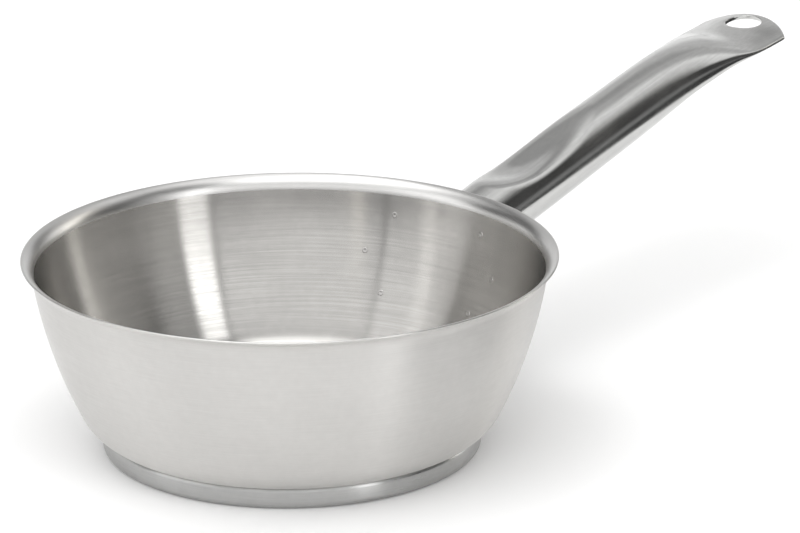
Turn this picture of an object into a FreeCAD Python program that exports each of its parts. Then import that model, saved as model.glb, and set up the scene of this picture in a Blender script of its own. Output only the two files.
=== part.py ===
import FreeCAD, Part
import math
import os

from FreeCAD import Placement, Rotation, Vector

# A small stainless saucier: a drawn bowl with a flared pouring lip, a sandwich base of an aluminium
# disc inside a magnetic steel cap, and a pressed tube handle on a spot-welded bracket.
# Millimetres and degrees. Z is the bowl's axis, the table is at zero height, the handle runs along +X.

# Bowl
LIP_RADIUS = 83.0
PAN_HEIGHT = 61.8
BOWL_SHEET = 0.7
WALL_ARC_RADIUS = 148.0
CORNER_RADIUS = 14.5
LIP_ARC_RADIUS = 5.0
LIP_ROOT_LEAN = 8.7
LIP_EDGE_LEAN = 72.0

# Sandwich base
CAP_SHEET = 0.5
CAP_LAP = 1.1
CAP_CORNER_RADIUS = 1.8
CAP_CLEARANCE = 0.2
DISC_THICKNESS = 4.8
DISC_CLEARANCE = 0.3

# Bracket between bowl and handle, and its six spot welds
BRACKET_WIDTH = 66.0
BRACKET_HEIGHT = 34.0
BRACKET_LIP_GAP = 1.3
BRACKET_SHEET = 1.5
NUGGET_DIAMETER = 4.0
NUGGET_STANDOFF = 0.3
NUGGET_CLEARANCE = 0.1
# Each row of nuggets: sideways and upward places, as shares of the bracket's half width and half height
SPOT_SHARES = ((0.53, 0.71), (0.79, 0.0), (0.54, -0.73))

# Tube handle, pressed flat towards its hanging end
TUBE_DIAMETER = 21.4
TUBE_WALL = 0.7
HANDLE_LENGTH = 187.6
HANDLE_RISE = 11.7
HANDLE_ABOVE_BRACKET = 3.7
PLATE_WIDTH = 33.0
PLATE_ARCH = 3.0
END_BOW = 8.2
END_CORNER_RADIUS = 3.0
HANG_HOLE_DIAMETER = 12.4
HANG_HOLE_MARGIN = 2.1
# Rows along the handle: place as a share of its length, share of the full pressing, then as shares of the
# tube's radius the lift of the section's middle above the tube's axis and the swell beside the thumb dish
PRESS_SHARES = (
    (-0.08, 0.00, 0.00, 0.00),
    (0.02, 0.00, 0.00, 0.00),
    (0.12, 0.00, 0.00, 0.01),
    (0.22, 0.005, -0.005, 0.035),
    (0.32, 0.01, -0.01, 0.03),
    (0.42, 0.02, -0.015, 0.01),
    (0.52, 0.035, -0.02, 0.00),
    (0.60, 0.07, -0.01, 0.00),
    (0.67, 0.15, 0.015, 0.00),
    (0.74, 0.32, 0.05, 0.00),
    (0.81, 0.64, 0.10, 0.00),
    (0.87, 0.96, 0.055, 0.00),
    (0.92, 1.00, -0.05, 0.00),
    (0.97, 1.00, -0.147, 0.00),
    (1.02, 1.00, -0.25, 0.00),
)
# Where the crown and the belly of the round tube pass into its flanks, from the sideways direction
FLANK_ANGLE = 22.0

# Thumb dish pressed into the crown near the bowl, steep on the bowl's side and fading outward
DISH_PLACE = 49.0
DISH_NEAR_LENGTH = 18.0
DISH_FAR_LENGTH = 30.0
DISH_DEPTH = 4.4
DISH_CROSS_RADIUS = 60.0
DISH_END_SHARE = 1.2
DISH_RIM_RADIUS = 8.0

# Weld between tube and bracket
WELD_LEG = 2.0
WELD_ROOT_GAP = 0.2

OVERRUN = 2.0

FULL_TURN = 360.0
UP = Vector(0, 0, 1)


def sin(angle):
    return math.sin(math.radians(angle))


def cos(angle):
    return math.cos(math.radians(angle))


def mix(start, end, share):
    return start + (end - start) * share


# The outside face of the bowl is three tangent arcs, each with its centre as (radius, height).
BASE_HEIGHT = CAP_SHEET + DISC_THICKNESS
CAP_HEIGHT = BASE_HEIGHT + CAP_LAP
LIP_CENTRE = (
    LIP_RADIUS + LIP_ARC_RADIUS * cos(LIP_EDGE_LEAN),
    PAN_HEIGHT - (LIP_ARC_RADIUS + BOWL_SHEET) * sin(LIP_EDGE_LEAN),
)
WALL_CENTRE = (
    LIP_CENTRE[0] - (LIP_ARC_RADIUS + WALL_ARC_RADIUS) * cos(LIP_ROOT_LEAN),
    LIP_CENTRE[1] + (LIP_ARC_RADIUS + WALL_ARC_RADIUS) * sin(LIP_ROOT_LEAN),
)
CORNER_DROP = WALL_CENTRE[1] - BASE_HEIGHT - CORNER_RADIUS
CORNER_REACH = math.sqrt((WALL_ARC_RADIUS - CORNER_RADIUS) ** 2 - CORNER_DROP**2)
CORNER_CENTRE = (WALL_CENTRE[0] + CORNER_REACH, BASE_HEIGHT + CORNER_RADIUS)
CORNER_LEAN = math.degrees(math.atan2(CORNER_DROP, CORNER_REACH))

LIP_ROOT_HEIGHT = LIP_CENTRE[1] + LIP_ARC_RADIUS * sin(LIP_ROOT_LEAN)
BRACKET_FACE = NUGGET_STANDOFF + BRACKET_SHEET
BRACKET_MID_HEIGHT = LIP_ROOT_HEIGHT - BRACKET_LIP_GAP - BRACKET_HEIGHT / 2
HANDLE_WALL_HEIGHT = BRACKET_MID_HEIGHT + HANDLE_ABOVE_BRACKET
TUBE_RADIUS = TUBE_DIAMETER / 2
HANG_HOLE_PLACE = HANDLE_LENGTH - HANG_HOLE_MARGIN - HANG_HOLE_DIAMETER / 2


def lip_point(lean, offset):
    """A point of the lip where it leans so far from upright, moved outward by offset."""
    radius = LIP_ARC_RADIUS - offset
    return Vector(LIP_CENTRE[0] - radius * cos(lean), 0, LIP_CENTRE[1] + radius * sin(lean))


def wall_point(lean, offset):
    radius = WALL_ARC_RADIUS + offset
    return Vector(WALL_CENTRE[0] + radius * cos(lean), 0, WALL_CENTRE[1] - radius * sin(lean))


def corner_point(lean, offset):
    radius = CORNER_RADIUS + offset
    return Vector(CORNER_CENTRE[0] + radius * cos(lean), 0, CORNER_CENTRE[1] - radius * sin(lean))


def line(start, end):
    return Part.makeLine(start, end)


def arc(start, middle, end):
    return Part.Arc(start, middle, end).toShape()


def lean_arc(point, start_lean, end_lean, offset):
    """The stretch of one of the bowl's arcs between two leans."""
    middle_lean = mix(start_lean, end_lean, 0.5)
    return arc(point(start_lean, offset), point(middle_lean, offset), point(end_lean, offset))


def face_of(edges):
    return Part.Face(Part.Wire(Part.sortEdges(edges)[0]))


def turned(edges):
    """The closed outline in the XZ plane, turned round the bowl's axis, its seam away from the handle."""
    solid = face_of(edges).revolve(Vector(), UP, FULL_TURN)
    solid.rotate(Vector(), UP, FULL_TURN / 2)
    return solid


def bowl_skin(offset):
    """The bowl's section from its middle to the lip's edge, moved outward by offset."""
    floor_end = corner_point(90.0, offset)
    return [
        line(Vector(0, 0, floor_end.z), floor_end),
        lean_arc(corner_point, 90.0, CORNER_LEAN, offset),
        lean_arc(wall_point, CORNER_LEAN, LIP_ROOT_LEAN, offset),
        lean_arc(lip_point, LIP_ROOT_LEAN, LIP_EDGE_LEAN, offset),
    ]


def bowl():
    outside = bowl_skin(0)
    inside = bowl_skin(-BOWL_SHEET)
    lip_edge = line(lip_point(LIP_EDGE_LEAN, 0), lip_point(LIP_EDGE_LEAN, -BOWL_SHEET))
    middle = line(Vector(0, 0, BASE_HEIGHT), Vector(0, 0, BASE_HEIGHT + BOWL_SHEET))
    return turned(outside + inside + [lip_edge, middle])


def cap_radius():
    """The cap's rim goes round the bowl's corner at the rim's own height."""
    drop = CORNER_CENTRE[1] - CAP_HEIGHT
    corner_radius = CORNER_CENTRE[0] + math.sqrt(CORNER_RADIUS**2 - drop**2)
    return corner_radius + CAP_CLEARANCE + CAP_SHEET


def dish_skin(radius, floor, rim, corner):
    """A flat floor, a rounded corner and an upright rim, from the axis outward."""
    middle = Vector(radius - corner + corner * cos(45.0), 0, floor + corner - corner * sin(45.0))
    floor_end = Vector(radius - corner, 0, floor)
    rim_start = Vector(radius, 0, floor + corner)
    return [
        line(Vector(0, 0, floor), floor_end),
        arc(floor_end, middle, rim_start),
        line(rim_start, Vector(radius, 0, rim)),
    ]


def base_cap():
    outer = cap_radius()
    inner = outer - CAP_SHEET
    outside = dish_skin(outer, 0, CAP_HEIGHT, CAP_CORNER_RADIUS)
    inside = dish_skin(inner, CAP_SHEET, CAP_HEIGHT, CAP_CORNER_RADIUS - CAP_SHEET)
    rim = line(Vector(outer, 0, CAP_HEIGHT), Vector(inner, 0, CAP_HEIGHT))
    middle = line(Vector(), Vector(0, 0, CAP_SHEET))
    return turned(outside + inside + [rim, middle])


def heat_spreader_disc():
    radius = cap_radius() - CAP_SHEET - DISC_CLEARANCE
    skin = dish_skin(radius, CAP_SHEET, BASE_HEIGHT, CAP_CORNER_RADIUS)
    top = line(Vector(radius, 0, BASE_HEIGHT), Vector(0, 0, BASE_HEIGHT))
    middle = line(Vector(0, 0, CAP_SHEET), Vector(0, 0, BASE_HEIGHT))
    return turned(skin + [top, middle])


def wall_layer(inner_offset, outer_offset):
    """A layer outside the bowl's wall, between two distances from it."""
    edges = [
        lean_arc(wall_point, CORNER_LEAN, LIP_ROOT_LEAN, inner_offset),
        lean_arc(wall_point, CORNER_LEAN, LIP_ROOT_LEAN, outer_offset),
        line(wall_point(CORNER_LEAN, inner_offset), wall_point(CORNER_LEAN, outer_offset)),
        line(wall_point(LIP_ROOT_LEAN, inner_offset), wall_point(LIP_ROOT_LEAN, outer_offset)),
    ]
    return turned(edges)


def wall_core(offset):
    """All that lies inside the wall's outside face moved outward by offset."""
    low = wall_point(CORNER_LEAN, offset)
    high = wall_point(LIP_ROOT_LEAN, offset)
    edges = [
        lean_arc(wall_point, CORNER_LEAN, LIP_ROOT_LEAN, offset),
        line(high, Vector(0, 0, high.z)),
        line(Vector(0, 0, high.z), Vector(0, 0, low.z)),
        line(Vector(0, 0, low.z), low),
    ]
    return turned(edges)


def bracket_prism():
    """The bracket's oval outline, run outward from the bowl's axis."""
    middle = Vector(0, 0, BRACKET_MID_HEIGHT)
    side = middle + Vector(0, BRACKET_WIDTH / 2, 0)
    top = middle + Vector(0, 0, BRACKET_HEIGHT / 2)
    oval = Part.Wire(Part.Ellipse(side, top, middle).toShape())
    return Part.Face(oval).extrude(Vector(LIP_RADIUS + WELD_LEG + OVERRUN, 0, 0))


def handle_bracket():
    return wall_layer(NUGGET_STANDOFF, BRACKET_FACE).common(bracket_prism())


def wall_radius(height):
    """The radius of the wall's outside face at a height."""
    return WALL_CENTRE[0] + math.sqrt(WALL_ARC_RADIUS**2 - (WALL_CENTRE[1] - height) ** 2)


def spot_welds():
    """The six nuggets in the gap between bracket and wall, two to a row from the top."""
    gap = wall_layer(NUGGET_CLEARANCE, NUGGET_STANDOFF - NUGGET_CLEARANCE)
    welds = []
    for sideways_share, upward_share in SPOT_SHARES:
        height = BRACKET_MID_HEIGHT + upward_share * BRACKET_HEIGHT / 2
        reach = sideways_share * BRACKET_WIDTH / 2
        turn = reach / wall_radius(height)
        for side in (1, -1):
            outward = Vector(math.cos(turn), side * math.sin(turn), 0)
            foot = Vector(0, 0, height)
            pin = Part.makeCylinder(NUGGET_DIAMETER / 2, LIP_RADIUS, foot, outward)
            welds.append(gap.common(pin))
    return welds


def handle_placement():
    """From the handle's own frame, along its axis from the wall, to the pan's frame."""
    foot = Vector(wall_radius(HANDLE_WALL_HEIGHT), 0, HANDLE_WALL_HEIGHT)
    return Placement(foot, Rotation(Vector(0, 1, 0), -HANDLE_RISE))


def handle_section(row, inset):
    """The tube's closed section at one row, moved inward by inset: crown, flank, belly, flank."""
    place_share, press, lift_share, swell_share = row
    along = place_share * HANDLE_LENGTH
    lift = lift_share * TUBE_RADIUS
    round_radius = TUBE_RADIUS * (1 + swell_share) - inset
    half_sheet = TUBE_WALL - inset
    plate_side = PLATE_WIDTH / 2 - inset
    plate_turn = PLATE_WIDTH / 2 - TUBE_WALL
    turn_y = mix(round_radius * cos(FLANK_ANGLE), plate_turn, press)
    crown_turn = lift + mix(round_radius * sin(FLANK_ANGLE), half_sheet - PLATE_ARCH, press)
    belly_turn = lift + mix(-round_radius * sin(FLANK_ANGLE), -half_sheet - PLATE_ARCH, press)
    crown = lift + mix(round_radius, half_sheet, press)
    belly = lift + mix(-round_radius, -half_sheet, press)
    side_y = mix(round_radius, plate_side, press)
    side_z = lift + mix(0, -PLATE_ARCH, press)

    def point(y, z):
        return Vector(along, y, z)

    edges = [
        arc(point(turn_y, crown_turn), point(0, crown), point(-turn_y, crown_turn)),
        arc(point(-turn_y, crown_turn), point(-side_y, side_z), point(-turn_y, belly_turn)),
        arc(point(-turn_y, belly_turn), point(0, belly), point(turn_y, belly_turn)),
        arc(point(turn_y, belly_turn), point(side_y, side_z), point(turn_y, crown_turn)),
    ]
    return Part.Wire(edges)


def handle_body():
    """The pressed tube's outside as one solid."""
    return Part.makeLoft([handle_section(row, 0) for row in PRESS_SHARES], True)


def handle_hollow():
    """The space inside the tube, up to the last row before its walls meet."""
    rows = [row for row in PRESS_SHARES if row[1] < 1]
    return Part.makeLoft([handle_section(row, TUBE_WALL) for row in rows], True)


def thumb_dish(growth):
    """The rounded space of the thumb dish, grown on all sides by growth."""
    crest = DISH_CROSS_RADIUS + growth

    def side_edges(length, way):
        long_radius = (length**2 + DISH_DEPTH**2) / (2 * DISH_DEPTH) + growth
        reach = DISH_END_SHARE * length

        def point(x):
            height = crest - long_radius + math.sqrt(long_radius**2 - x**2)
            return Vector(way * x, 0, height)

        end = point(reach)
        foot = Vector(end.x, 0, 0)
        return [arc(point(0), point(reach / 2), end), line(end, foot), line(foot, Vector())]

    edges = side_edges(DISH_NEAR_LENGTH, -1) + side_edges(DISH_FAR_LENGTH, 1)
    dish = face_of(edges).revolve(Vector(), Vector(1, 0, 0), FULL_TURN)
    dish.translate(Vector(DISH_PLACE, 0, TUBE_RADIUS - DISH_DEPTH + DISH_CROSS_RADIUS))
    return dish


def dished(solid, inset):
    """The solid with the thumb dish pressed in and the dish's rim rounded, all moved inward by inset."""
    pressed = solid.cut(thumb_dish(inset))
    start = DISH_PLACE - DISH_NEAR_LENGTH * DISH_END_SHARE
    end = DISH_PLACE + DISH_FAR_LENGTH * DISH_END_SHARE

    def on_rim(edge):
        box = edge.BoundBox
        return box.XMin > start and box.XMax < end and box.ZMin > 0 and box.XLength > TUBE_WALL

    rim = [edge for edge in pressed.Edges if on_rim(edge)]
    return pressed.makeFillet(DISH_RIM_RADIUS - inset, rim)


def end_trim():
    """The plan of the handle with its bowed end and rounded corners, run through its height."""
    side = PLATE_WIDTH / 2 + TUBE_WALL
    corner_y = side - END_CORNER_RADIUS
    end_radius = ((PLATE_WIDTH / 2) ** 2 + END_BOW**2) / (2 * END_BOW)
    centre_x = HANDLE_LENGTH - end_radius
    centre_reach = end_radius - END_CORNER_RADIUS
    corner_x = centre_x + math.sqrt(centre_reach**2 - corner_y**2)
    meet_angle = math.degrees(math.asin(corner_y / centre_reach))
    turn_angle = mix(meet_angle, 90.0, 0.5)
    start_x = PRESS_SHARES[0][0] * HANDLE_LENGTH - OVERRUN
    low = -TUBE_RADIUS - OVERRUN

    def corner(angle, half):
        y = half * (corner_y + END_CORNER_RADIUS * sin(angle))
        return Vector(corner_x + END_CORNER_RADIUS * cos(angle), y, low)

    def half_edges(half):
        start = Vector(start_x, half * side, low)
        return [
            line(start, corner(90.0, half)),
            arc(corner(90.0, half), corner(turn_angle, half), corner(meet_angle, half)),
        ]

    tip = arc(corner(meet_angle, 1), Vector(HANDLE_LENGTH, 0, low), corner(meet_angle, -1))
    back = line(Vector(start_x, side, low), Vector(start_x, -side, low))
    outline = face_of(half_edges(1) + half_edges(-1) + [tip, back])
    return outline.extrude(Vector(0, 0, TUBE_DIAMETER + OVERRUN * 2))


def hang_hole():
    """The hanging hole, square to the pressed plate."""
    start_share, _, start_lift, _ = PRESS_SHARES[-3]
    end_share, _, end_lift, _ = PRESS_SHARES[-1]
    run = (end_share - start_share) * HANDLE_LENGTH
    fall = (end_lift - start_lift) * TUBE_RADIUS
    square = Vector(-fall, 0, run).normalize()
    past_start = HANG_HOLE_PLACE - start_share * HANDLE_LENGTH
    lift = start_lift * TUBE_RADIUS + fall * past_start / run
    foot = Vector(HANG_HOLE_PLACE, 0, lift) - square * TUBE_RADIUS
    return Part.makeCylinder(HANG_HOLE_DIAMETER / 2, TUBE_DIAMETER, foot, square)


def placed(shape):
    """The shape moved from the handle's own frame to the pan's frame."""
    shape.Placement = handle_placement()
    return shape


def handle_tube():
    """The hollow tube, pressed, trimmed, pierced and coped to the bracket's curved face."""
    body = dished(handle_body(), 0).common(end_trim()).cut(hang_hole())
    hollow = dished(handle_hollow(), TUBE_WALL)
    return placed(body.cut(hollow)).cut(wall_core(BRACKET_FACE + WELD_ROOT_GAP))


def weld_ring(height, growth):
    """The tube's oval on a plane along the wall, at a height over the bracket, grown by growth."""
    lean = math.degrees(math.asin((WALL_CENTRE[1] - HANDLE_WALL_HEIGHT) / WALL_ARC_RADIUS))
    slant = HANDLE_RISE + lean
    axis = Vector(cos(HANDLE_RISE), 0, sin(HANDLE_RISE))
    middle = handle_placement().Base + axis * ((BRACKET_FACE + height) / cos(slant))
    long_end = middle + Vector(sin(lean), 0, cos(lean)) * (TUBE_RADIUS / cos(slant) + growth)
    short_end = middle + Vector(0, TUBE_RADIUS + growth, 0)
    return Part.Wire(Part.Ellipse(long_end, short_end, middle).toShape())


def handle_weld():
    """The sloped weld bead round the tube where it meets the bracket."""
    foot = weld_ring(-OVERRUN, WELD_LEG + OVERRUN)
    crest = weld_ring(WELD_LEG + OVERRUN, -OVERRUN)
    cone = Part.makeLoft([foot, crest], True, True)
    bead = cone.cut(wall_core(BRACKET_FACE)).cut(placed(handle_body()))
    return bead.common(bracket_prism())


def main():
    os.makedirs("parts", exist_ok=True)
    nodes = {
        "bowl": bowl(),
        "base_cap": base_cap(),
        "heat_spreader_disc": heat_spreader_disc(),
        "handle_bracket": handle_bracket(),
        "handle_tube": handle_tube(),
        "handle_weld": handle_weld(),
    }
    for number, weld in enumerate(spot_welds(), start=1):
        nodes[f"spot_weld_{number}"] = weld
    for name, shape in nodes.items():
        shape.exportStep(f"parts/{name}.step")
        box = shape.BoundBox
        print(name, shape.isValid(), len(shape.Solids), round(shape.Volume, 1), box)


main()
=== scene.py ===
"""Looks of a small stainless saucier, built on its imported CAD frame.

Lengths are in metres and angles in degrees. The bowl's axis is Z, the table is at zero height
and the handle runs along +X.
"""

import logging
import math
from collections.abc import Mapping, Sequence
from dataclasses import dataclass
from enum import Enum

import bmesh
import bpy
from bmesh.types import BMEdge, BMesh, BMVert
from bpy.types import Material, Node, NodeSocket, NodeTree, Object
from mathutils import Matrix, Vector


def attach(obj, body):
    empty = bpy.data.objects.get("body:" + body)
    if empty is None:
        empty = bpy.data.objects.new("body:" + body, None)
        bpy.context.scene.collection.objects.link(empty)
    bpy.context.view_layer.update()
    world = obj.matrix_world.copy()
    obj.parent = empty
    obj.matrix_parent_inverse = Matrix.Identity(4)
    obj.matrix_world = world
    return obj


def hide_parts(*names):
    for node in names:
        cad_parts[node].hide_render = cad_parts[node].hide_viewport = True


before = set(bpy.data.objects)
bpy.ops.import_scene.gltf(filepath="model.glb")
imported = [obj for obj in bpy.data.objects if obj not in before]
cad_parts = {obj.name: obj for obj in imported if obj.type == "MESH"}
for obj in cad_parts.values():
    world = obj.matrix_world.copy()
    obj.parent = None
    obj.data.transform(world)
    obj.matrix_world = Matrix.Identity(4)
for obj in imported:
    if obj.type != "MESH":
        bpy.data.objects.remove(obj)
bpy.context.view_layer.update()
ROOT_BODY = "root"
UP_AXIS = Vector((0.0, 0.0, 1.0))
WHITE = (1.0, 1.0, 1.0, 1.0)
HANDLE_RISE = 11.7
# Vertices closer than this are one.
MERGE_DISTANCE = 2e-7
# Faces that meet at more than this show a sharp edge.
CREASE_ANGLE = 45.0
# An arc of fewer radians than this counts as straight.
LEAST_TURN = 1e-4
# Divisors are at least this.
LEAST_RADIUS = 1e-4

log = logging.getLogger("saucier")

Point = tuple[float, float]
Colour = tuple[float, float, float]
Value = float | NodeSocket


def sin(angle: float) -> float:
    """Sine of an angle in degrees."""
    return math.sin(math.radians(angle))


def cos(angle: float) -> float:
    """Cosine of an angle in degrees."""
    return math.cos(math.radians(angle))


def mix(start: float, end: float, share: float) -> float:
    """The value a share of the way from start to end."""
    return start + (end - start) * share


def ease(share: float) -> float:
    """A share from 0 to 1, clamped, that starts and stops gently."""
    held = min(1.0, max(0.0, share))
    return held * held * (3.0 - 2.0 * held)


def close_up(bm: BMesh) -> None:
    """Merges doubled vertices and turns all faces outwards."""
    bmesh.ops.remove_doubles(bm, verts=bm.verts[:], dist=MERGE_DISTANCE)
    bmesh.ops.recalc_face_normals(bm, faces=bm.faces[:])


def round_edges(bm: BMesh, edges: Sequence[BMEdge], width: float, steps: int) -> None:
    """Rounds edges of a mesh by a width, in a number of steps."""
    bmesh.ops.bevel(
        bm, geom=edges, offset=width, segments=steps, profile=0.5, affect="EDGES", material=-1
    )


class Profile:
    """A section drawn edge by edge, by radius and height, and then turned."""

    def __init__(self, start: Point) -> None:
        """Starts the section at a point."""
        self.bm = bmesh.new()
        self.vert = self.bm.verts.new((start[0], 0.0, start[1]))

    def line(self, end: Point) -> None:
        """Runs straight on to a point."""
        self.vert = bmesh.ops.extrude_vert_indiv(self.bm, verts=[self.vert])["verts"][0]
        self.vert.co = (end[0], 0.0, end[1])

    def arc(self, centre: Point, turn: float, steps: int) -> None:
        """Runs on round a centre.

        Args:
            centre: The centre.
            turn: The angle, positive from +X towards +Z.
            steps: The number of edges.
        """
        made = bmesh.ops.spin(
            self.bm,
            geom=[self.vert],
            cent=(centre[0], 0.0, centre[1]),
            axis=(0.0, -1.0, 0.0),
            angle=math.radians(turn),
            steps=steps,
            use_duplicate=False,
        )
        self.vert = next(part for part in made["geom_last"] if isinstance(part, BMVert))

    def turned(self, steps: int) -> BMesh:
        """Turns the section once round Z and closes its seam and poles.

        Args:
            steps: The number of steps in the turn.

        Returns:
            The turned mesh.
        """
        bmesh.ops.spin(
            self.bm,
            geom=self.bm.verts[:] + self.bm.edges[:],
            cent=(0.0, 0.0, 0.0),
            axis=UP_AXIS,
            angle=math.tau,
            steps=steps,
            use_merge=True,
            use_duplicate=False,
        )
        close_up(self.bm)
        return self.bm


def arc_point(half_chord: float, rise: float, share: float) -> Point:
    """A point of a flat or bowed line over a chord.

    Args:
        half_chord: Half the chord's length.
        rise: The bow's height over the chord's middle, negative below it.
        share: The place, from -1 at one end to 1 at the other.

    Returns:
        The distance along the chord from its middle, and the height over it.
    """
    half_turn = 2.0 * math.atan2(rise, half_chord)
    if abs(half_turn) < LEAST_TURN:
        return half_chord * share, rise * (1.0 - share * share)
    along = half_chord * math.sin(share * half_turn) / math.sin(half_turn)
    up = rise * (math.cos(share * half_turn) - math.cos(half_turn)) / (1.0 - math.cos(half_turn))
    return along, up


def smooth_row(rows: Sequence[tuple[float, ...]], place: float) -> list[float]:
    """Reads a table of rows as smooth curves.

    Args:
        rows: Rows of a place and the values there, in order of place.
        place: Where to read them.

    Returns:
        The values at that place.
    """
    last = len(rows) - 2
    low = next((n for n in range(last + 1) if place < rows[n + 1][0]), last)
    start, end = rows[low], rows[low + 1]
    before, after = rows[max(0, low - 1)], rows[min(last + 1, low + 2)]
    run = end[0] - start[0]
    t = (place - start[0]) / run
    values = []
    for k in range(1, len(start)):
        start_slope = (end[k] - before[k]) / (end[0] - before[0])
        end_slope = (after[k] - start[k]) / (after[0] - start[0])
        values.append(
            start[k] * (1 + 2 * t) * (1 - t) ** 2
            + end[k] * (3 - 2 * t) * t**2
            + run * t * (1 - t) * (start_slope * (1 - t) - end_slope * t)
        )
    return values


class Finish(Enum):
    """The finishes on the pan, by the names of their materials."""

    INSIDE = "brushed_bowl_inside"
    OUTSIDE = "satin_bowl_outside"
    LIP = "polished_lip"
    BASE = "turned_base"
    HANDLE = "satin_handle"
    BRACKET = "pressed_bracket"
    WELD = "dressed_weld"
    MARK = "weld_mark_on_sheet"
    CORE = "rolled_aluminium"


class Slot(Enum):
    """The record's material slots for the new pieces; the script does not set them."""

    BOWL = "bowl_steel"
    BASE = "base_steel"
    BRACKET = "bracket_steel"
    HANDLE = "handle_steel"
    WELD = "weld_metal"


class Graph:
    """Adds nodes to one node tree and links them."""

    # The sockets of a mix node that are for colours.
    MIX_SHARE, MIX_FIRST, MIX_SECOND, MIX_RESULT = 0, 6, 7, 2

    def __init__(self, tree: NodeTree) -> None:
        """Keeps the tree."""
        self.tree = tree

    def add(
        self, kind: str, given: Mapping[str | int, object] | None = None, **settings: object
    ) -> Node:
        """Adds a node.

        Args:
            kind: The node's type, without its ShaderNode prefix.
            given: Sockets or values for the node's inputs, by name or number.
            settings: Properties of the node, set before its inputs.

        Returns:
            The new node.
        """
        prefix = "" if kind.startswith("NodeGroup") else "ShaderNode"
        node = self.tree.nodes.new(prefix + kind)
        for name, value in settings.items():
            setattr(node, name, value)
        for key, value in (given or {}).items():
            self.feed(node.inputs[key], value)
        return node

    def feed(self, socket: NodeSocket, value: object) -> None:
        """Links a socket to another one, or sets its value.

        Args:
            socket: The socket to feed.
            value: The other socket, or the value.
        """
        if isinstance(value, NodeSocket):
            self.tree.links.new(value, socket)
        else:
            socket.default_value = value

    def math(self, operation: str, *values: Value) -> NodeSocket:
        """The result of a math node over the values."""
        return self.add("Math", dict(enumerate(values)), operation=operation).outputs[0]

    def level_length(self, x: NodeSocket, y: NodeSocket) -> NodeSocket:
        """The length of a level vector with these values."""
        squares = [self.math("MULTIPLY", part, part) for part in (x, y)]
        return self.math("SQRT", self.math("ADD", *squares))

    def spread(self, value: Value, old: Point = (0.0, 1.0), new: Point = (0.0, 1.0)) -> NodeSocket:
        """Maps a value from one range to another and holds it there.

        Args:
            value: The value.
            old: The range that it comes from.
            new: The range that it goes to.

        Returns:
            The mapped value.
        """
        names = ("Value", "From Min", "From Max", "To Min", "To Max")
        given = dict(zip(names, (value, *old, *new)))
        return self.add("MapRange", given, clamp=True).outputs[0]

    def blend(self, share: Value, first: object, second: object) -> NodeSocket:
        """Two colours mixed by a share."""
        given = {self.MIX_SHARE: share, self.MIX_FIRST: first, self.MIX_SECOND: second}
        return self.add("Mix", given, data_type="RGBA").outputs[self.MIX_RESULT]

    def noise(
        self, vector: NodeSocket, scale: Value, detail: float, roughness: float
    ) -> NodeSocket:
        """Noise of a scale, with its octaves and how much the finer ones count."""
        given = {"Vector": vector, "Scale": scale, "Detail": detail, "Roughness": roughness}
        return self.add("TexNoise", given).outputs["Fac"]

    def vector(self, x: Value, y: Value, z: Value) -> NodeSocket:
        """Three values joined to a vector."""
        return self.add("CombineXYZ", {0: x, 1: y, 2: z}).outputs[0]

    def split(self, vector: NodeSocket) -> Sequence[NodeSocket]:
        """The three values of a vector."""
        return self.add("SeparateXYZ", {0: vector}).outputs[:]

    def group(self, name: str, **given: Value) -> Node:
        """Places a shared group and feeds its inputs."""
        return self.add("Group", given, node_tree=bpy.data.node_groups[name])


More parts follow.
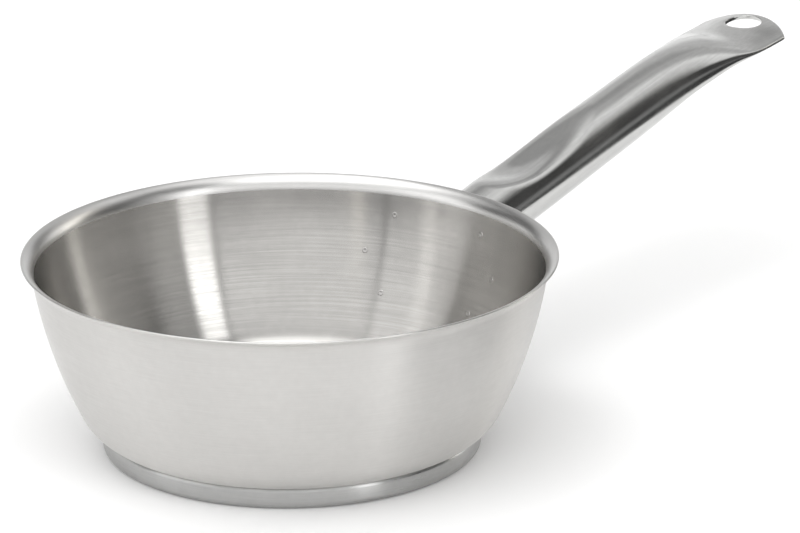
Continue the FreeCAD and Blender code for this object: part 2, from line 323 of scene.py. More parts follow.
class Effects:
    """The surface effects that several finishes share, each a shader node group."""

    # The parts of a noise's range that are spread out to 0 and 1.
    LINE_SPAN = (0.3, 0.7)
    BLOTCH_SPAN = (0.35, 0.68)
    # How much finer the mottle is than the blotches.
    MOTTLE_FINENESS = 9.0

    @staticmethod
    def _new_group(
        name: str, values: Sequence[str], outputs: Sequence[str]
    ) -> tuple[Graph, Node, Node]:
        """Starts a group with a Vector input, value inputs and value outputs.

        Args:
            name: The group's name.
            values: The names of its value inputs.
            outputs: The names of its outputs.

        Returns:
            The group's graph, its input node and its output node.
        """
        tree = bpy.data.node_groups.new(name, "ShaderNodeTree")
        tree.interface.new_socket("Vector", in_out="INPUT", socket_type="NodeSocketVector")
        for way, names in (("INPUT", values), ("OUTPUT", outputs)):
            for key in names:
                tree.interface.new_socket(key, in_out=way, socket_type="NodeSocketFloat")
        graph = Graph(tree)
        return graph, graph.add("NodeGroupInput"), graph.add("NodeGroupOutput")

    @classmethod
    def turned_grain(cls) -> None:
        """Fine lines that run round the Z axis, as a sander leaves on a turning bowl."""
        graph, given, result = cls._new_group("turned_grain", ("Lines", "Sweep"), ("Lines",))
        x, y, z = graph.split(given.outputs["Vector"])
        radius = graph.level_length(x, y)
        held = graph.math("MAXIMUM", radius, LEAST_RADIUS)
        turns = [graph.math("DIVIDE", part, held) for part in (x, y)]
        around = [graph.math("MULTIPLY", turn, given.outputs["Sweep"]) for turn in turns]
        across = graph.math("MULTIPLY", graph.math("ADD", radius, z), given.outputs["Lines"])
        fine = graph.noise(graph.vector(*around, across), 1.0, detail=3.0, roughness=0.65)
        graph.feed(result.inputs["Lines"], graph.spread(fine, cls.LINE_SPAN))

    @classmethod
    def long_grain(cls) -> None:
        """Fine lines that run along the X axis of the coordinates."""
        graph, given, result = cls._new_group("long_grain", ("Lines", "Sweep"), ("Lines",))
        x, *sides = graph.split(given.outputs["Vector"])
        along = graph.math("MULTIPLY", x, given.outputs["Sweep"])
        across = [graph.math("MULTIPLY", part, given.outputs["Lines"]) for part in sides]
        fine = graph.noise(graph.vector(along, *across), 1.0, detail=2.0, roughness=0.6)
        graph.feed(result.inputs["Lines"], graph.spread(fine, cls.LINE_SPAN))

    @classmethod
    def smudges(cls) -> None:
        """Soft blotches and a finer mottle, as handling and wiping leave."""
        graph, given, result = cls._new_group("smudges", ("Scale",), ("Mask", "Mottle"))
        place, scale = given.outputs["Vector"], given.outputs["Scale"]
        finer = graph.math("MULTIPLY", scale, cls.MOTTLE_FINENESS)
        broad = graph.noise(place, scale, detail=2.0, roughness=0.5)
        close = graph.noise(place, finer, detail=3.0, roughness=0.6)
        graph.feed(result.inputs["Mask"], graph.spread(broad, cls.BLOTCH_SPAN))
        graph.feed(result.inputs["Mottle"], graph.spread(close, cls.LINE_SPAN))


class Grain(Enum):
    """The ways that a finish's lines run."""

    TURNED = "turned_grain"
    LONG = "long_grain"


@dataclass(frozen=True)
class MetalFinish:
    """One metal finish: its colours, its gloss and its lines."""

    finish: Finish
    light: Colour
    dark: Colour
    roughness: tuple[float, float]
    lines: float
    sweep: float
    grain: Grain = Grain.TURNED
    anisotropy: float = 0.0
    highlight_turn: float = 0.25
    line_tint: float = 0.5
    mottle_tint: float = 0.25
    smudge_scale: float = 40.0
    smudge_gloss: float = 0.05
    tilt: float = 0.0

    def make(self) -> None:
        """Builds the material."""
        made = bpy.data.materials.new(self.finish.value)
        made.use_nodes = True
        graph = Graph(made.node_tree)
        inputs = made.node_tree.nodes["Principled BSDF"].inputs
        seen = graph.add("TexCoord").outputs["Object"]
        tilt = (0.0, math.radians(self.tilt), 0.0)
        place = graph.add("Mapping", {"Vector": seen, "Rotation": tilt}).outputs[0]
        grain = graph.group(self.grain.value, Vector=place, Lines=self.lines, Sweep=self.sweep)
        lines = grain.outputs["Lines"]
        smudge = graph.group("smudges", Vector=place, Scale=self.smudge_scale)
        mottle = graph.math("MULTIPLY", smudge.outputs["Mottle"], self.mottle_tint)
        share = graph.math("ADD", graph.math("MULTIPLY", lines, self.line_tint), mottle)
        colour = graph.blend(share, (*self.light, 1.0), (*self.dark, 1.0))
        wiped = graph.math("MULTIPLY", smudge.outputs["Mask"], self.smudge_gloss)
        roughness = graph.math("ADD", graph.spread(lines, new=self.roughness), wiped)
        graph.feed(inputs["Base Color"], colour)
        graph.feed(inputs["Roughness"], roughness)
        inputs["Metallic"].default_value = 1.0
        if self.anisotropy:
            inputs["Anisotropic"].default_value = self.anisotropy
            inputs["Anisotropic Rotation"].default_value = self.highlight_turn
            tangent = graph.add("Tangent", direction_type="RADIAL", axis="Z")
            graph.feed(inputs["Tangent"], tangent.outputs[0])


METALS = (
    MetalFinish(
        Finish.INSIDE, (0.54, 0.53, 0.512), (0.42, 0.412, 0.398), (0.16, 0.21),
        anisotropy=0.95, lines=1900.0, sweep=1.7, line_tint=0.55,
    ),
    MetalFinish(
        Finish.OUTSIDE, (0.665, 0.655, 0.637), (0.585, 0.575, 0.56), (0.34, 0.40),
        anisotropy=0.9, lines=2600.0, sweep=5.0, line_tint=0.35,
    ),
    MetalFinish(
        Finish.LIP, (0.64, 0.635, 0.625), (0.57, 0.565, 0.555), (0.28, 0.34),
        anisotropy=0.4, lines=2200.0, sweep=6.0, line_tint=0.25,
    ),
    MetalFinish(
        Finish.BASE, (0.48, 0.48, 0.475), (0.385, 0.385, 0.38), (0.26, 0.32),
        anisotropy=0.8, lines=3000.0, sweep=4.0,
    ),
    MetalFinish(
        Finish.HANDLE, (0.62, 0.62, 0.61), (0.49, 0.49, 0.48), (0.15, 0.21),
        grain=Grain.LONG, lines=1700.0, sweep=40.0, line_tint=0.4, tilt=HANDLE_RISE,
    ),
    MetalFinish(
        Finish.BRACKET, (0.56, 0.56, 0.55), (0.46, 0.46, 0.45), (0.26, 0.36),
        grain=Grain.LONG, lines=900.0, sweep=30.0, line_tint=0.4, tilt=90.0,
    ),
    MetalFinish(
        Finish.WELD, (0.46, 0.44, 0.42), (0.32, 0.30, 0.29), (0.28, 0.42),
        lines=1200.0, sweep=30.0, smudge_scale=160.0,
    ),
    MetalFinish(
        Finish.MARK, (0.54, 0.53, 0.52), (0.40, 0.39, 0.38), (0.22, 0.34),
        lines=1800.0, sweep=20.0, smudge_scale=500.0,
    ),
    MetalFinish(
        Finish.CORE, (0.82, 0.82, 0.82), (0.70, 0.70, 0.70), (0.34, 0.46),
        grain=Grain.LONG, lines=1400.0, sweep=20.0, line_tint=0.4,
    ),
)


def material(finish: Finish) -> Material:
    """The material of a finish."""
    return bpy.data.materials[finish.value]


def new_piece(
    name: str, bm: BMesh, finishes: Sequence[Finish], slot: Slot, stands_for: Sequence[str] = ()
) -> Object:
    """Makes a piece of the pan from a mesh, smooth between its creases.

    Args:
        name: The piece's name.
        bm: The mesh, in place. It is freed.
        finishes: The finishes, in the order of the faces' material numbers.
        slot: The record's material slot. Not used.
        stands_for: The CAD nodes that it stands for.

    Returns:
        The new piece.
    """
    mesh = bpy.data.meshes.new(name)
    for face in bm.faces:
        face.smooth = True
    for edge in bm.edges:
        edge.smooth = edge.calc_face_angle(0.0) < math.radians(CREASE_ANGLE)
    bm.to_mesh(mesh)
    bm.free()
    for finish in finishes:
        mesh.materials.append(material(finish))
    piece = bpy.data.objects.new(name, mesh)
    bpy.context.scene.collection.objects.link(piece)
    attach(piece, ROOT_BODY)
    if stands_for:
        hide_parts(*stands_for)
    return piece


@dataclass
class Bowl:
    """The drawn bowl: a flat floor, a rounded corner, a bowed wall and a flared lip."""

    lip_radius: float = 0.0830
    height: float = 0.0618
    sheet: float = 0.0007
    wall_arc_radius: float = 0.1480
    corner_radius: float = 0.0145
    lip_arc_radius: float = 0.0050
    lip_root_lean: float = 8.7
    lip_edge_lean: float = 72.0
    base_height: float = 0.0053
    turn_steps: int = 288
    corner_steps: int = 14
    wall_steps: int = 22
    lip_steps: int = 12
    edge_steps: int = 8

    def __post_init__(self) -> None:
        """Works out the centres of the section's arcs."""
        lip, root = self.lip_edge_lean, self.lip_root_lean
        reach = self.lip_arc_radius + self.wall_arc_radius
        self.lip_centre: Point = (
            self.lip_radius + self.lip_arc_radius * cos(lip),
            self.height - (self.lip_arc_radius + self.sheet) * sin(lip),
        )
        self.wall_centre: Point = (
            self.lip_centre[0] - reach * cos(root),
            self.lip_centre[1] + reach * sin(root),
        )
        drop = self.wall_centre[1] - self.base_height - self.corner_radius
        run = math.sqrt((self.wall_arc_radius - self.corner_radius) ** 2 - drop**2)
        corner_height = self.base_height + self.corner_radius
        self.corner_centre: Point = (self.wall_centre[0] + run, corner_height)
        self.corner_lean = math.degrees(math.atan2(drop, run))
        self.lip_root_height = self.lip_centre[1] + self.lip_arc_radius * sin(root)

    def wall_radius(self, height: float, offset: float = 0.0) -> float:
        """The radius of the wall's outside face, moved outward by an offset, at a height."""
        drop = self.wall_centre[1] - height
        return self.wall_centre[0] + math.sqrt((self.wall_arc_radius + offset) ** 2 - drop**2)

    def build(self) -> Object:
        """Draws the section, turns it and parts its faces by finish.

        Returns:
            The bowl.
        """
        half_sheet = self.sheet / 2
        edge_reach = self.lip_arc_radius + half_sheet
        edge_turn = math.degrees(half_sheet / edge_reach)
        lip_turn = self.lip_edge_lean - edge_turn - self.lip_root_lean
        edge_angle = 180.0 - self.lip_edge_lean + edge_turn
        edge_middle = (
            self.lip_centre[0] + edge_reach * cos(edge_angle),
            self.lip_centre[1] + edge_reach * sin(edge_angle),
        )
        arcs = (
            (self.corner_centre, 90.0 - self.corner_lean, self.corner_steps),
            (self.wall_centre, self.corner_lean - self.lip_root_lean, self.wall_steps),
            (self.lip_centre, -lip_turn, self.lip_steps),
        )
        section = Profile((0.0, self.base_height))
        section.line((self.corner_centre[0], self.base_height))
        for centre, turn, steps in arcs:
            section.arc(centre, turn, steps)
        section.arc(edge_middle, 180.0, self.edge_steps)
        for centre, turn, steps in reversed(arcs):
            section.arc(centre, -turn, steps)
        section.line((0.0, self.base_height + self.sheet))
        bm = section.turned(self.turn_steps)
        finishes = (Finish.INSIDE, Finish.OUTSIDE, Finish.LIP)
        for face in bm.faces:
            middle = face.calc_center_median()
            outward = Vector((middle.x, middle.y, 0.0)).normalized()
            outside = face.normal.z < face.normal.dot(outward)
            upper = Finish.LIP if middle.z > self.lip_root_height else Finish.INSIDE
            face.material_index = finishes.index(Finish.OUTSIDE if outside else upper)
        return new_piece("bowl_shell", bm, finishes, Slot.BOWL, ("bowl",))


@dataclass
class BaseCap:
    """The steel cap round the sandwich base."""

    radius: float = 0.05894
    height: float = 0.0064
    sheet: float = 0.0005
    lean: float = 0.0003
    edge_width: float = 0.0004
    edge_drop: float = 0.00045
    corner_radius: float = 0.0018
    turn_steps: int = 288
    corner_steps: int = 8
    wall_steps: int = 6

    def build(self) -> Object:
        """Draws the cap's section and turns it.

        Returns:
            The cap.
        """
        corner = (self.radius - self.corner_radius, self.corner_radius)
        shoulder = self.height - self.edge_drop
        rise = shoulder - self.corner_radius
        crown_radius = (rise**2 + self.lean**2) / (2 * self.lean)
        crown_turn = math.degrees(math.atan2(rise, crown_radius - self.lean))
        crown = (self.radius - crown_radius, self.corner_radius)
        top = self.radius - self.lean - self.edge_width
        inside = self.radius - self.sheet
        section = Profile((0.0, 0.0))
        section.line((corner[0], 0.0))
        section.arc(corner, 90.0, self.corner_steps)
        section.arc(crown, crown_turn, self.wall_steps)
        section.line((top, self.height))
        section.line((top, shoulder))
        section.line((inside, shoulder - self.edge_drop))
        section.line((inside, self.corner_radius))
        section.arc(corner, -90.0, self.corner_steps)
        section.line((0.0, self.sheet))
        bm = section.turned(self.turn_steps)
        return new_piece("base_cap_shell", bm, (Finish.BASE,), Slot.BASE, ("base_cap",))


@dataclass
class Handle:
    """The tube handle, pressed flat towards its hanging end, with a thumb dish near the bowl."""

    bowl: Bowl
    tube_radius: float = 0.0107
    tube_wall: float = 0.0007
    length: float = 0.1876
    rise: float = HANDLE_RISE
    wall_height: float = 0.04254
    bracket_face: float = 0.0018
    root_gap: float = 0.0002
    plate_width: float = 0.0330
    plate_arch: float = 0.0030
    flank_angle: float = 22.0
    end_bow: float = 0.0082
    end_corner_radius: float = 0.0030
    hole_diameter: float = 0.0124
    hole_margin: float = 0.0021
    hole_edge: float = 0.00025
    hole_edge_steps: int = 3
    hole_rings: int = 3
    window_share: float = 0.30
    window_margins: float = 2.4
    dish_place: float = 0.0490
    dish_near_length: float = 0.0180
    dish_far_length: float = 0.0300
    dish_depth: float = 0.0044
    dish_cross_radius: float = 0.032
    dish_softness: float = 0.0040
    dish_reach: float = 1.7
    crown_steps: int = 44
    flank_steps: int = 10
    body_steps: int = 220
    nose_steps: int = 5
    cope_length: float = 0.030
    cope_halvings: int = 30
    bow_length: float = 0.045
    # Shares of the length, of the press to a plate, and of the radius for lift and swell.
    press_shares: tuple[tuple[float, float, float, float], ...] = (
        (-0.08, 0.0, 0.0, 0.0),
        (0.02, 0.0, 0.0, 0.0),
        (0.12, 0.0, 0.0, 0.01),
        (0.22, 0.005, -0.005, 0.035),
        (0.32, 0.01, -0.01, 0.03),
        (0.42, 0.02, -0.015, 0.01),
        (0.52, 0.035, -0.02, 0.0),
        (0.60, 0.07, -0.01, 0.0),
        (0.67, 0.15, 0.015, 0.0),
        (0.74, 0.32, 0.05, 0.0),
        (0.81, 0.64, 0.10, 0.0),
        (0.87, 0.96, 0.055, 0.0),
        (0.92, 1.00, -0.05, 0.0),
        (0.97, 1.00, -0.147, 0.0),
        (1.02, 1.00, -0.30, 0.0),
    )

    def __post_init__(self) -> None:
        """Works out the handle's placement and the outline of its end."""
        foot = Vector((self.bowl.wall_radius(self.wall_height), 0.0, self.wall_height))
        lift = Matrix.Rotation(math.radians(-self.rise), 4, "Y")
        self.place: Matrix = Matrix.Translation(foot) @ lift
        side = self.plate_width / 2
        self.end_radius = (side**2 + self.end_bow**2) / (2 * self.end_bow)
        self.corner_side = side + self.tube_wall - self.end_corner_radius
        reach = self.end_radius - self.end_corner_radius
        inset = self.end_radius - math.sqrt(reach**2 - self.corner_side**2)
        self.corner_along = self.length - inset
        self.corner_meet = self.corner_side * self.end_radius / reach

    def section_point(self, along: float, column: int) -> Point:
        """A point of the pressed tube's section.

        Args:
            along: The place along the handle.
            column: The point's number round the section, from the crown's +Y end.

        Returns:
            The sideways and upward places.
        """
        press, lift_share, swell_share = smooth_row(self.press_shares, along / self.length)
        lift = lift_share * self.tube_radius
        radius = self.tube_radius * (1.0 + swell_share)
        half_plate = self.tube_wall
        turn_side = mix(radius * cos(self.flank_angle), self.plate_width / 2 - half_plate, press)
        turn_up = mix(radius * sin(self.flank_angle), half_plate, press)
        middle = lift - self.plate_arch * press
        bow = mix(radius * (1.0 - sin(self.flank_angle)), self.plate_arch, press)
        sag = mix(-radius * (1.0 - sin(self.flank_angle)), self.plate_arch, press)
        bulge = mix(radius * (1.0 - cos(self.flank_angle)), half_plate, press)
        crown, flank = self.crown_steps, self.flank_steps
        if column <= crown:
            y, up = arc_point(turn_side, bow, 1.0 - 2.0 * column / crown)
            return y, middle + turn_up + up
        column -= crown
        if column <= flank:
            up, out = arc_point(turn_up, bulge, 1.0 - 2.0 * column / flank)
            return -turn_side - out, middle + up
        column -= flank
        if column <= crown:
            y, up = arc_point(turn_side, sag, 2.0 * column / crown - 1.0)
            return y, middle - turn_up + up
        column -= crown
        up, out = arc_point(turn_up, bulge, 2.0 * column / flank - 1.0)
        return turn_side + out, middle + up

    def dished(self, along: float, side: float, up: float) -> float:
        """The height of a crown point once the thumb dish is pressed in.

        Args:
            along: The place along the handle.
            side: The sideways place.
            up: The height of the plain tube there.

        Returns:
            The height with a soft edge between tube and dish.
        """
        past = along - self.dish_place
        length = self.dish_near_length if past < 0.0 else self.dish_far_length
        long_radius = (length**2 + self.dish_depth**2) / (2 * self.dish_depth)
        if abs(past) > self.dish_reach * length:
            return up
        crest = self.dish_cross_radius - long_radius + math.sqrt(long_radius**2 - past**2)
        centre = self.tube_radius - self.dish_depth + self.dish_cross_radius
        if crest <= abs(side):
            return up
        floor = centre - math.sqrt(crest**2 - side**2)
        soft = self.dish_softness
        share = max(0.0, soft - abs(up - floor)) / soft
        return min(up, floor) - share * share * soft / 4.0

    def end_along(self, side: float) -> float:
        """How far the handle's bowed and rounded end reaches.

        Args:
            side: The sideways place.

        Returns:
            The end's place along the handle.
        """
        y = abs(side)
        if y <= self.corner_meet:
            return self.length - self.end_radius + math.sqrt(self.end_radius**2 - y * y)
        past = min(y - self.corner_side, self.end_corner_radius)
        return self.corner_along + math.sqrt(self.end_corner_radius**2 - past**2)

    def cope_along(self, side: float, up: float) -> float:
        """Where a line along the tube meets the bracket's face.

        Args:
            side: The line's sideways place.
            up: Its height over the tube's axis.

        Returns:
            The meeting's place along the handle.
        """
        low, high = -self.cope_length, self.cope_length
        offset = self.bracket_face + self.root_gap
        for _ in range(self.cope_halvings):
            along = (low + high) / 2
            point = self.place @ Vector((along, side, up))
            if math.hypot(point.x, point.y) < self.bowl.wall_radius(point.z, offset):
                low = along
            else:
                high = along
        return (low + high) / 2

    def surface_point(self, column: int, row: int) -> Vector:
        """A point of the handle's skin in its own frame.

        Args:
            column: The point's number round the section.
            row: The point's number along the handle, nose rows last.

        Returns:
            The point.
        """
        nose = self.tube_wall
        straight = self.length - nose
        past = row - self.body_steps
        along = straight * min(row, self.body_steps) / self.body_steps
        side, up = self.section_point(along, column)
        if along < self.cope_length:
            along += self.cope_along(side, up) * (1.0 - ease(along / self.cope_length))
        bow_start = self.length - self.bow_length
        if along > bow_start:
            share = (along - bow_start) / (straight - bow_start)
            along += (self.end_along(side) - self.length) * share**2
        side, up = self.section_point(along, column)
        if column <= self.crown_steps:
            up = self.dished(along, side, up)
        if past > 0:
            turn = 90.0 * past / self.nose_steps
            middle = self._middle_up(along, column)
            along += nose * sin(turn)
            up = mix(middle, up, cos(turn))
        return Vector((along, side, up))

    def _middle_up(self, along: float, column: int) -> float:
        """The height of the pressed plate's middle beside a point of its skin.

        Args:
            along: The place along the handle.
            column: The point's number round the section.

        Returns:
            The middle's height.
        """
        belly = self.crown_steps + self.flank_steps
        belly_end = belly + self.crown_steps
        if column <= self.crown_steps or belly <= column <= belly_end:
            _, first = self.section_point(along, column)
            _, second = self.section_point(along, belly_end - column)
            return (first + second) / 2
        press, lift_share, _ = smooth_row(self.press_shares, along / self.length)
        return lift_share * self.tube_radius - self.plate_arch * press

    def build(self) -> Object:
        """Shapes the skin, pierces the hanging hole and closes both ends.

        Returns:
            The handle.
        """
        bm = bmesh.new()
        columns = 2 * (self.crown_steps + self.flank_steps)
        rows = self.body_steps + self.nose_steps
        bmesh.ops.create_grid(bm, x_segments=columns, y_segments=rows, size=1.0)
        places: dict[BMVert, tuple[int, int]] = {}
        for vert in bm.verts:
            column = round((vert.co.x + 1.0) / 2.0 * columns)
            row = round((vert.co.y + 1.0) / 2.0 * rows)
            places[vert] = (column, row)
            vert.co = self.surface_point(column, row)
        self._pierce(bm, places)
        bmesh.ops.remove_doubles(bm, verts=bm.verts[:], dist=MERGE_DISTANCE)
        open_edges = [edge for edge in bm.edges if edge.is_boundary]
        bmesh.ops.holes_fill(bm, edges=open_edges, sides=0)
        bmesh.ops.recalc_face_normals(bm, faces=bm.faces[:])
        bmesh.ops.transform(bm, matrix=self.place, verts=bm.verts[:])
        return new_piece("handle_shell", bm, (Finish.HANDLE,), Slot.HANDLE, ("handle_tube",))

    def _pierce(self, bm: BMesh, places: dict[BMVert, tuple[int, int]]) -> None:
        """Cuts the hanging hole through both sheets and rounds its edges.

        Args:
            bm: The handle's skin.
            places: The column and row of each of its vertices.
        """
        radius = self.hole_diameter / 2
        middle = self.length - self.hole_margin - radius
        pitch = self.length / self.body_steps
        half_columns = round(self.crown_steps * self.window_share)
        first_row = round((middle - radius - self.window_margins * self.hole_margin) / pitch)
        last_row = self.body_steps - 1
        crown_middle = self.crown_steps // 2
        belly_middle = self.crown_steps + self.flank_steps + crown_middle
        windows = [
            [
                face
                for face in bm.faces
                if all(
                    abs(column - centre) <= half_columns and first_row <= row <= last_row
                    for column, row in (places[vert] for vert in face.verts)
                )
            ]
            for centre in (crown_middle, belly_middle)
        ]
        loops = []
        for window, away in zip(windows, (1.0, -1.0)):
            within = set(window)
            edges = dict.fromkeys(edge for face in window for edge in face.edges)
            rim = [edge for edge in edges if any(face not in within for face in edge.link_faces)]
            bmesh.ops.delete(bm, geom=window, context="FACES")
            ring = bmesh.ops.create_circle(bm, segments=len(rim), radius=radius)["verts"]
            for vert in ring:
                vert.co = self._plate_point(middle + vert.co.x, vert.co.y, away)
            ring_edges = list(dict.fromkeys(edge for vert in ring for edge in vert.link_edges))
            across = bmesh.ops.bridge_loops(bm, edges=rim + ring_edges)["edges"]
            cut = bmesh.ops.subdivide_edges(
                bm, edges=across, cuts=self.hole_rings, use_grid_fill=True
            )
            for part in cut["geom_inner"]:
                if isinstance(part, BMVert):
                    part.co = self._plate_point(part.co.x, part.co.y, away)
            loops.append(ring_edges)
        bmesh.ops.bridge_loops(bm, edges=loops[0] + loops[1])
        round_edges(bm, loops[0] + loops[1], self.hole_edge, self.hole_edge_steps)

    def _plate_point(self, along: float, side: float, away: float) -> Vector:
        """A point on a face of the pressed plate.

        Args:
            along: The place along the handle.
            side: The sideways place.
            away: 1 for the upper face and -1 for the lower one.

        Returns:
            The point in the handle's own frame.
        """
        _, lift_share, _ = smooth_row(self.press_shares, along / self.length)
        turn_side = self.plate_width / 2 - self.tube_wall
        bow_radius = (turn_side**2 + self.plate_arch**2) / (2 * self.plate_arch)
        arch = math.sqrt(bow_radius**2 - side**2) - bow_radius
        up = lift_share * self.tube_radius + arch + away * self.tube_wall
        return Vector((along, side, up))


@dataclass
class HandleFixing:
    """The bracket plate on the bowl's wall, the weld round the tube and the six weld marks."""

    bowl: Bowl
    handle: Handle
    width: float = 0.0660
    plate_height: float = 0.0340
    lip_gap: float = 0.0013
    sheet: float = 0.0015
    standoff: float = 0.0003
    edge_round: float = 0.0005
    edge_steps: int = 4
    plate_rings: int = 18
    plate_steps: int = 144
    weld_radius: float = 0.0015
    weld_ripples: int = 46
    weld_ripple_share: float = 0.07
    weld_steps: int = 184
    bead_steps: int = 12
    mark_radius: float = 0.0010
    mark_height: float = 0.00008
    mark_steps: int = 20
    # A mark's section from its middle out and back, in shares of its radius and height.
    mark_section: tuple[Point, ...] = (
        (0.0, 0.25), (0.30, 0.35), (0.55, 0.80), (0.72, 1.0), (0.88, 0.7), (1.0, -0.5), (0.0, -0.5),
    )
    # The welds' places on the plate, in shares of its half width and half height.
    spot_shares: tuple[Point, ...] = ((0.53, 0.71), (0.79, 0.0), (0.54, -0.73))

    @property
    def middle_height(self) -> float:
        """The height of the bracket's middle."""
        return self.bowl.lip_root_height - self.lip_gap - self.plate_height / 2

    def build(self) -> list[Object]:
        """Builds the bracket, the weld and the marks."""
        return [self.build_bracket(), self.build_weld(), *self.build_marks()]

    def build_bracket(self) -> Object:
        """Lays an oval plate against the wall and rounds its edges.

        Returns:
            The bracket.
        """
        disc = Profile((0.0, 0.0))
        for ring in range(1, self.plate_rings + 1):
            disc.line((ring / self.plate_rings, 0.0))
        bm = disc.turned(self.plate_steps)
        for vert in bm.verts:
            side = vert.co.x * self.width / 2
            height = self.middle_height + vert.co.y * self.plate_height / 2
            radius = self.bowl.wall_radius(height, self.standoff + self.sheet)
            vert.co = (math.sqrt(radius**2 - side**2), side, height)
        made = bmesh.ops.extrude_face_region(bm, geom=bm.faces[:], use_keep_orig=True)["geom"]
        for vert in (part for part in made if isinstance(part, BMVert)):
            outward = Vector((vert.co.x, vert.co.y, 0.0)).normalized()
            vert.co -= outward * self.sheet
        close_up(bm)
        crease = math.radians(CREASE_ANGLE)
        sharp = [edge for edge in bm.edges if edge.calc_face_angle(0.0) > crease]
        round_edges(bm, sharp, self.edge_round, self.edge_steps)
        finishes = (Finish.BRACKET,)
        return new_piece("bracket_plate", bm, finishes, Slot.BRACKET, ("handle_bracket",))

    def build_weld(self) -> Object:
        """Runs a rippled bead round the tube where it meets the bracket.

        Returns:
            The weld.
        """
        bm = bmesh.new()
        bmesh.ops.create_grid(
            bm, x_segments=self.weld_steps, y_segments=self.bead_steps, size=1.0
        )
        for vert in bm.verts:
            turn = math.pi * vert.co.x
            roll = math.pi * vert.co.y
            ripple = 1.0 + self.weld_ripple_share * math.sin(self.weld_ripples * turn)
            bead = self.weld_radius * ripple
            reach = self.handle.tube_radius + bead * math.cos(roll)
            side, up = reach * math.sin(turn), reach * math.cos(turn)
            foot = self.handle.cope_along(side, up)
            vert.co = self.handle.place @ Vector((foot + bead * math.sin(roll), side, up))
        close_up(bm)
        return new_piece("handle_weld_bead", bm, (Finish.WELD,), Slot.WELD, ("handle_weld",))

    def build_marks(self) -> list[Object]:
        """Sets the six small weld marks on the inside of the wall.

        Returns:
            The marks.
        """
        marks = []
        for across_share, up_share in self.spot_shares:
            height = self.middle_height + up_share * self.plate_height / 2
            turn = across_share * self.width / 2 / self.bowl.wall_radius(height)
            for side in (1.0, -1.0):
                marks.append(self._build_mark(len(marks) + 1, height, side * turn))
        return marks

    def _build_mark(self, number: int, height: float, turn: float) -> Object:
        """Turns one shallow crater and sets it on the wall's inside.

        Args:
            number: The mark's number.
            height: Its height.
            turn: Its angle from the handle, in radians.

        Returns:
            The mark.
        """
        points = [(out * self.mark_radius, up * self.mark_height) for out, up in self.mark_section]
        section = Profile(points[0])
        for point in points[1:]:
            section.line(point)
        bm = section.turned(self.mark_steps)
        bowl = self.bowl
        radius = bowl.wall_radius(height, -bowl.sheet)
        lean = math.asin((bowl.wall_centre[1] - height) / (bowl.wall_arc_radius - bowl.sheet))
        ahead = Vector((math.cos(turn), math.sin(turn), 0.0))
        inward = UP_AXIS * math.sin(lean) - ahead * math.cos(lean)
        turned = inward.to_track_quat("Z", "Y").to_matrix().to_4x4()
        place = Matrix.Translation(ahead * radius + UP_AXIS * height) @ turned
        bmesh.ops.transform(bm, matrix=place, verts=bm.verts[:])
        return new_piece(f"weld_mark_{number}", bm, (Finish.MARK,), Slot.WELD)


@dataclass
class HiddenNodes:
    """The CAD nodes that stay as they are, inside the base and behind the bracket."""

    core: str = "heat_spreader_disc"
    nuggets: tuple[str, ...] = tuple(f"spot_weld_{number}" for number in range(1, 7))

    def dress(self) -> list[str]:
        """Gives each node its material.

        Returns:
            The nodes' names.
        """
        finishes = {self.core: Finish.CORE, **dict.fromkeys(self.nuggets, Finish.WELD)}
        for name, finish in finishes.items():
            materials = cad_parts[name].data.materials
            materials.clear()
            materials.append(material(finish))
        return list(finishes)


@dataclass(frozen=True)
class Panel:
    """One soft light panel in the surroundings, given by what it covers of them."""

    azimuth: float
    half_width: float
    low: float
    high: float
    strength: float
    softness: float
    tint: Colour = (1.0, 1.0, 1.0)


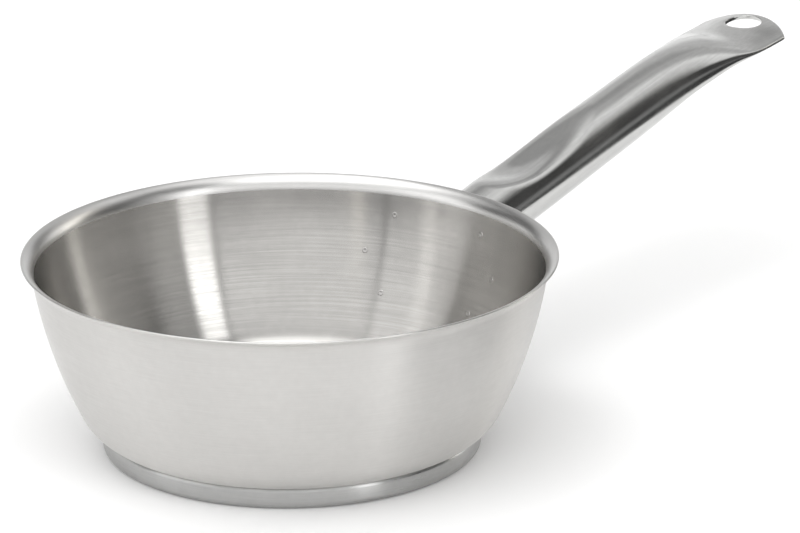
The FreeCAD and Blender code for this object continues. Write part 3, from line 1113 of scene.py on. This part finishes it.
@dataclass
class Studio:
    """The floor, the light panels round the pan and the camera."""

    floor_size: float = 6.0
    floor_right: float = 0.26
    floor_gap: float = 0.0001
    floor_shade: float = 0.95
    floor_roughness: float = 0.9
    floor_glow: float = 0.05
    dimness: float = 0.05
    # Azimuth, half width, low and high edge, strength, softness and tint.
    panels: tuple[Panel, ...] = (
        Panel(-6.9, 7.0, -2.0, 38.0, 3.0, 1.2),
        Panel(0.0, 180.0, 64.0, 90.0, 1.4, 5.0),
        Panel(-96.0, 85.0, 50.0, 80.0, 2.1, 5.0),
        Panel(-96.0, 85.0, 33.0, 50.0, 0.55, 2.0),
        Panel(-56.2, 39.8, 6.0, 33.0, 1.38, 1.5),
        Panel(-120.0, 22.4, 6.0, 36.0, 1.55, 1.5),
        Panel(-121.5, 4.0, 8.0, 40.0, 0.20, 1.5),
        Panel(132.6, 31.0, -2.0, 13.0, 0.95, 3.0),
        Panel(132.6, 31.0, 13.0, 37.0, 0.63, 2.0),
        Panel(132.6, 31.0, 37.0, 55.0, 0.35, 3.0),
        Panel(64.6, 4.5, 5.0, 34.0, 2.9, 1.5, (1.0, 0.96, 0.88)),
        Panel(116.0, 39.0, 55.0, 64.0, 0.65, 5.0),
        Panel(61.0, 18.0, 38.0, 64.0, 1.0, 9.0),
        Panel(88.6, 14.0, 25.0, 52.0, 0.55, 4.0),
        Panel(10.6, 8.0, 5.0, 40.0, 0.55, 8.0),
        Panel(-156.0, 30.0, -2.0, 10.0, 1.22, 3.0),
        Panel(74.0, 10.0, -5.0, 22.0, 1.0, 3.0),
        Panel(46.0, 13.0, -8.0, 2.0, 0.24, 3.0),
    )
    camera_distance: float = 1.5609
    camera_azimuth: float = -51.4
    camera_elevation: float = 20.58
    camera_yaw: float = 1.2605
    camera_pitch: float = 1.9824
    camera_roll: float = -0.3151
    lens: float = 225.0
    sensor: float = 36.0

    def build(self) -> None:
        """Sets up all of it."""
        self.build_floor()
        self.build_world()
        self.build_camera()
        bpy.context.scene.view_settings.view_transform = "Standard"

    def build_floor(self) -> None:
        """Lays a plain pale floor that shows white and keeps the pan's shadow."""
        bm = bmesh.new()
        bmesh.ops.create_grid(bm, x_segments=1, y_segments=1, size=self.floor_size / 2)
        place = (self.floor_right - self.floor_size / 2, 0.0, -self.floor_gap)
        turn = Matrix.Rotation(math.radians(self.camera_azimuth), 3, "Z")
        bmesh.ops.translate(bm, verts=bm.verts, vec=place)
        bmesh.ops.rotate(bm, verts=bm.verts, matrix=turn)
        mesh = bpy.data.meshes.new("floor")
        bm.to_mesh(mesh)
        bm.free()
        floor = bpy.data.objects.new("floor", mesh)
        bpy.context.scene.collection.objects.link(floor)
        pale = bpy.data.materials.new("pale_floor")
        pale.use_nodes = True
        shader = pale.node_tree.nodes["Principled BSDF"]
        shade = self.floor_shade
        for name, value in (
            ("Base Color", (shade, shade, shade, 1.0)),
            ("Roughness", self.floor_roughness),
            ("Specular IOR Level", 0.0),
            ("Emission Color", WHITE),
            ("Emission Strength", self.floor_glow),
        ):
            shader.inputs[name].default_value = value
        mesh.materials.append(pale)

    @staticmethod
    def _direction(azimuth: float, elevation: float) -> Vector:
        """The direction from the pan to a place round it, azimuth 0 at -Y and 90 at +X."""
        level = cos(elevation)
        return Vector((sin(azimuth) * level, -cos(azimuth) * level, sin(elevation)))

    def build_world(self) -> None:
        """Sets the light panels in dim surroundings, with white where the camera sees past."""
        world = bpy.data.worlds.new("studio")
        bpy.context.scene.world = world
        world.use_nodes = True
        graph = Graph(world.node_tree)
        sight = graph.split(graph.add("TexCoord").outputs["Generated"])
        light = graph.vector(self.dimness, self.dimness, self.dimness)
        for panel in self.panels:
            colour = tuple(panel.strength * part for part in panel.tint)
            given = {0: colour, "Scale": self._panel_share(graph, sight, panel)}
            glow = graph.add("VectorMath", given, operation="SCALE").outputs[0]
            light = graph.add("VectorMath", {0: light, 1: glow}, operation="ADD").outputs[0]
        seen = graph.add("LightPath").outputs["Is Camera Ray"]
        background = world.node_tree.nodes["Background"]
        graph.feed(background.inputs["Color"], graph.blend(seen, light, WHITE))

    def _panel_share(self, graph: Graph, sight: Sequence[NodeSocket], panel: Panel) -> Value:
        """Adds how much of a panel is seen in a direction.

        Args:
            graph: The world's graph.
            sight: The direction's three values.
            panel: The panel.

        Returns:
            The share, from 0 off the panel to 1 on it.
        """
        x, y, z = sight
        soft = panel.softness
        share: Value = 1.0
        for elevation, ends in ((panel.low, (0.0, 1.0)), (panel.high, (1.0, 0.0))):
            if elevation < 90.0:
                edge = (sin(elevation - soft), sin(elevation + soft))
                share = graph.math("MULTIPLY", share, graph.spread(z, edge, ends))
        if panel.half_width < 180.0:
            ahead = self._direction(panel.azimuth, 0.0)
            sides = (graph.math("MULTIPLY", x, ahead.x), graph.math("MULTIPLY", y, ahead.y))
            level = graph.math("MAXIMUM", graph.level_length(x, y), LEAST_RADIUS)
            toward = graph.math("DIVIDE", graph.math("ADD", *sides), level)
            edge = (cos(panel.half_width + soft), cos(panel.half_width - soft))
            share = graph.math("MULTIPLY", share, graph.spread(toward, edge))
        return share

    def build_camera(self) -> None:
        """Sets the camera at the photograph's angle."""
        data = bpy.data.cameras.new("camera")
        data.lens, data.sensor_width = self.lens, self.sensor
        camera = bpy.data.objects.new("camera", data)
        bpy.context.scene.collection.objects.link(camera)
        bpy.context.scene.camera = camera
        back = self._direction(self.camera_azimuth, self.camera_elevation)
        right = (-back).cross(UP_AXIS).normalized()
        up = right.cross(-back)
        yaw = math.tan(math.radians(self.camera_yaw))
        pitch = math.tan(math.radians(self.camera_pitch))
        ahead = (-back + right * yaw + up * pitch).normalized()
        right = ahead.cross(UP_AXIS).normalized()
        up = right.cross(ahead)
        across = right * cos(self.camera_roll) + up * sin(self.camera_roll)
        upward = up * cos(self.camera_roll) - right * sin(self.camera_roll)
        turn = Matrix((across, upward, -ahead)).transposed()
        camera.matrix_world = Matrix.Translation(back * self.camera_distance) @ turn.to_4x4()


def main() -> None:
    """Builds the pan's pieces and the studio in order."""
    logging.basicConfig(level=logging.INFO, format="%(name)s: %(message)s")
    Effects.turned_grain()
    Effects.long_grain()
    Effects.smudges()
    for metal in METALS:
        metal.make()
    bowl = Bowl()
    handle = Handle(bowl)
    fixing = HandleFixing(bowl, handle)
    for piece in (bowl.build(), BaseCap().build(), handle.build(), *fixing.build()):
        log.info("%s: %d faces", piece.name, len(piece.data.polygons))
    for name in HiddenNodes().dress():
        log.info("%s keeps its CAD mesh", name)
    Studio().build()


if __name__ == "__main__":
    main()
